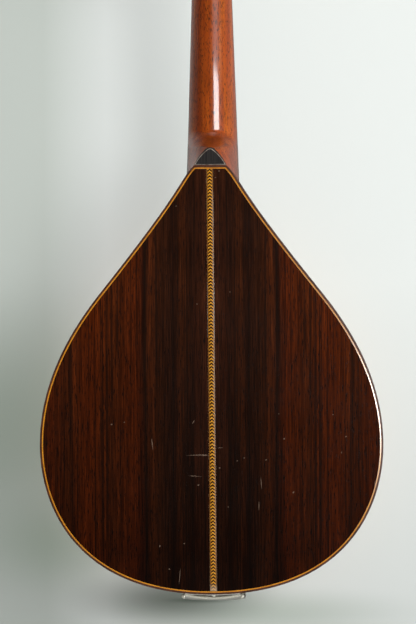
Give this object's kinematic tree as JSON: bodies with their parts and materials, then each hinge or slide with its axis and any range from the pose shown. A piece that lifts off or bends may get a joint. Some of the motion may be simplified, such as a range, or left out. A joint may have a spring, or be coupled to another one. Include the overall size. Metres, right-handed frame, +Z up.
{
  "type": "flat back mandolin",
  "caption": "Flat back mandolin with a pear-shaped body, a bent top, paired strings, worm-gear tuners that turn and a tailpiece cover that slides off.",
  "frame": {"origin": "where a wall hanger carries the instrument, in the middle of the head's thickness under its shoulders", "axes": "+Z up along the instrument from tail to head, +Y from the flat back out through the soundboard, +X towards the bass side"},
  "size_m": [0.25, 0.0869, 0.6119],
  "materials": {
    "dark_rosewood": "gloss",
    "rosewood_edging": "gloss",
    "yellow_dyed_wood": "gloss",
    "spruce": "satin",
    "raw_spruce": "matte",
    "red_cedar": "gloss",
    "ebony": "satin",
    "bone": "satin",
    "tortoiseshell": "gloss",
    "nickel": "satin",
    "brass": "satin",
    "ivoroid": "gloss",
    "string_steel": "gloss",
    "wound_bronze": "satin"
  },
  "bodies": {
    "instrument": {"back_bass": "dark_rosewood", "back_binding": "rosewood_edging", "back_brace_lower": "raw_spruce", "back_brace_upper": "raw_spruce", "back_purfling": "yellow_dyed_wood", "back_strip": "yellow_dyed_wood", "back_treble": "dark_rosewood", "bridge": "rosewood_edging", "fretboard": "ebony", "heel_cap": "ebony", "lining_back": "raw_spruce", "lining_top": "raw_spruce", "neck": "red_cedar", "neck_block": "raw_spruce", "nut": "bone", "pickguard": "tortoiseshell", "side_bass": "dark_rosewood", "side_treble": "dark_rosewood", "soundboard": "spruce", "string_a1": "string_steel", "string_a2": "string_steel", "string_d1": "wound_bronze", "string_d2": "wound_bronze", "string_e1": "string_steel", "string_e2": "string_steel", "string_g1": "wound_bronze", "string_g2": "wound_bronze", "tail_block": "raw_spruce", "tailpiece": "nickel", "tailpiece_screw": "nickel", "top_binding": "rosewood_edging", "top_brace_lower": "raw_spruce", "top_brace_upper": "raw_spruce", "tuner_plate_bass": "nickel", "tuner_plate_treble": "nickel"},
    "post_g1": {"tuner_post_g1": "brass"},
    "worm_g1": {"tuner_worm_g1": "nickel", "tuner_button_g1": "ivoroid"},
    "post_g2": {"tuner_post_g2": "brass"},
    "worm_g2": {"tuner_worm_g2": "nickel", "tuner_button_g2": "ivoroid"},
    "post_d1": {"tuner_post_d1": "brass"},
    "worm_d1": {"tuner_worm_d1": "nickel", "tuner_button_d1": "ivoroid"},
    "post_d2": {"tuner_post_d2": "brass"},
    "worm_d2": {"tuner_worm_d2": "nickel", "tuner_button_d2": "ivoroid"},
    "post_e1": {"tuner_post_e1": "brass"},
    "worm_e1": {"tuner_worm_e1": "nickel", "tuner_button_e1": "ivoroid"},
    "post_e2": {"tuner_post_e2": "brass"},
    "worm_e2": {"tuner_worm_e2": "nickel", "tuner_button_e2": "ivoroid"},
    "post_a1": {"tuner_post_a1": "brass"},
    "worm_a1": {"tuner_worm_a1": "nickel", "tuner_button_a1": "ivoroid"},
    "post_a2": {"tuner_post_a2": "brass"},
    "worm_a2": {"tuner_worm_a2": "nickel", "tuner_button_a2": "ivoroid"},
    "cover": {"tailpiece_cover": "nickel"}
  },
  "joints": [
    {"name": "worm_g1_turn", "type": "hinge", "parent": "instrument", "child": "worm_g1", "pos_m": [0.017, -0.01498, 0.00997], "axis": [1, 0, 0], "continuous": true},
    {"name": "worm_g2_turn", "type": "hinge", "parent": "instrument", "child": "worm_g2", "pos_m": [0.017, -0.02149, 0.03203], "axis": [1, 0, 0], "continuous": true},
    {"name": "worm_d1_turn", "type": "hinge", "parent": "instrument", "child": "worm_d1", "pos_m": [0.017, -0.028, 0.05409], "axis": [1, 0, 0], "continuous": true},
    {"name": "worm_d2_turn", "type": "hinge", "parent": "instrument", "child": "worm_d2", "pos_m": [0.017, -0.0345, 0.07615], "axis": [1, 0, 0], "continuous": true},
    {"name": "worm_e1_turn", "type": "hinge", "parent": "instrument", "child": "worm_e1", "pos_m": [-0.017, -0.01498, 0.00997], "axis": [1, 0, 0], "continuous": true},
    {"name": "worm_e2_turn", "type": "hinge", "parent": "instrument", "child": "worm_e2", "pos_m": [-0.017, -0.02149, 0.03203], "axis": [1, 0, 0], "continuous": true},
    {"name": "worm_a1_turn", "type": "hinge", "parent": "instrument", "child": "worm_a1", "pos_m": [-0.017, -0.028, 0.05409], "axis": [1, 0, 0], "continuous": true},
    {"name": "worm_a2_turn", "type": "hinge", "parent": "instrument", "child": "worm_a2", "pos_m": [-0.017, -0.0345, 0.07615], "axis": [1, 0, 0], "continuous": true},
    {"name": "post_g1_turn", "type": "hinge", "parent": "instrument", "child": "post_g1", "pos_m": [0.017, 0.00106, 0.02116], "axis": [0, 0.9591, 0.2829], "continuous": true},
    {"name": "post_g2_turn", "type": "hinge", "parent": "instrument", "child": "post_g2", "pos_m": [0.017, -0.00545, 0.04322], "axis": [0, 0.9591, 0.2829], "continuous": true},
    {"name": "post_d1_turn", "type": "hinge", "parent": "instrument", "child": "post_d1", "pos_m": [0.017, -0.01196, 0.06528], "axis": [0, 0.9591, 0.2829], "continuous": true},
    {"name": "post_d2_turn", "type": "hinge", "parent": "instrument", "child": "post_d2", "pos_m": [0.017, -0.01846, 0.08734], "axis": [0, 0.9591, 0.2829], "continuous": true},
    {"name": "post_e1_turn", "type": "hinge", "parent": "instrument", "child": "post_e1", "pos_m": [-0.017, 0.00106, 0.02116], "axis": [0, 0.9591, 0.2829], "continuous": true},
    {"name": "post_e2_turn", "type": "hinge", "parent": "instrument", "child": "post_e2", "pos_m": [-0.017, -0.00545, 0.04322], "axis": [0, 0.9591, 0.2829], "continuous": true},
    {"name": "post_a1_turn", "type": "hinge", "parent": "instrument", "child": "post_a1", "pos_m": [-0.017, -0.01196, 0.06528], "axis": [0, 0.9591, 0.2829], "continuous": true},
    {"name": "post_a2_turn", "type": "hinge", "parent": "instrument", "child": "post_a2", "pos_m": [-0.017, -0.01846, 0.08734], "axis": [0, 0.9591, 0.2829], "continuous": true},
    {"name": "cover_slide", "type": "slide", "parent": "instrument", "child": "cover", "axis": [0, -0.0801, -0.9968], "range_m": [0, 0.055]}
  ],
  "couplings": [
    {"joint": "post_g1_turn", "follows": "worm_g1_turn", "ratio": 0.071429},
    {"joint": "post_g2_turn", "follows": "worm_g2_turn", "ratio": 0.071429},
    {"joint": "post_d1_turn", "follows": "worm_d1_turn", "ratio": 0.071429},
    {"joint": "post_d2_turn", "follows": "worm_d2_turn", "ratio": 0.071429},
    {"joint": "post_e1_turn", "follows": "worm_e1_turn", "ratio": 0.071429},
    {"joint": "post_e2_turn", "follows": "worm_e2_turn", "ratio": 0.071429},
    {"joint": "post_a1_turn", "follows": "worm_a1_turn", "ratio": 0.071429},
    {"joint": "post_a2_turn", "follows": "worm_a2_turn", "ratio": 0.071429}
  ]
}
